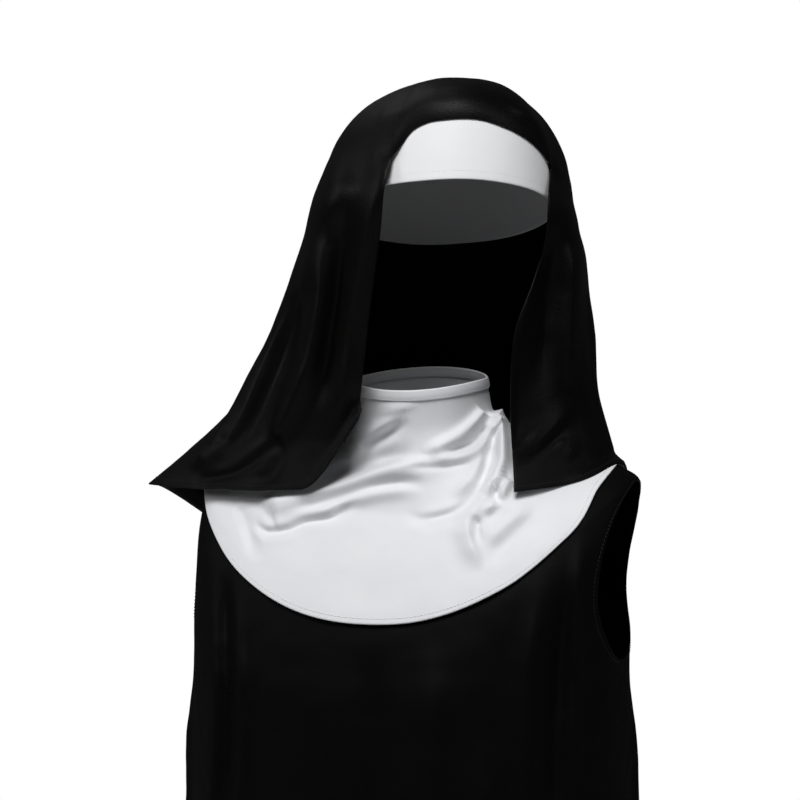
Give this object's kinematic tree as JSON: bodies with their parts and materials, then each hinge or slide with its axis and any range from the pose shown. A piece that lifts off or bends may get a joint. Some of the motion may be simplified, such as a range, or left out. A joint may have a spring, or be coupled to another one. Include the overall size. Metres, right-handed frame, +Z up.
{
  "type": "nun habit with veil and collar",
  "caption": "Worn nun habit: black veil on a white headband, round white collar and long black sleeveless tunic, hollow and open at face, neck, armholes and hem.",
  "frame": {"origin": "the middle of the base of the wearer's neck, inside the collar, where the habit is carried", "axes": "+Z up along the wearer, -Y out of the chest to the front, +X to the wearer's left"},
  "size_m": [0.5853, 0.4447, 1.571],
  "materials": {
    "black_tunic": "matt woven polyester",
    "black_veil": "soft satin-faced jersey with a low sheen",
    "white_knit": "smooth stretch knit with a slight sheen",
    "white_band": "smooth doubled knit, matt"
  },
  "bodies": {
    "root": {"tunic_front": "black_tunic", "tunic_back": "black_tunic", "collar": "white_knit", "collar_binding": "white_knit", "headband": "white_band", "veil": "black_veil"}
  },
  "joints": []
}
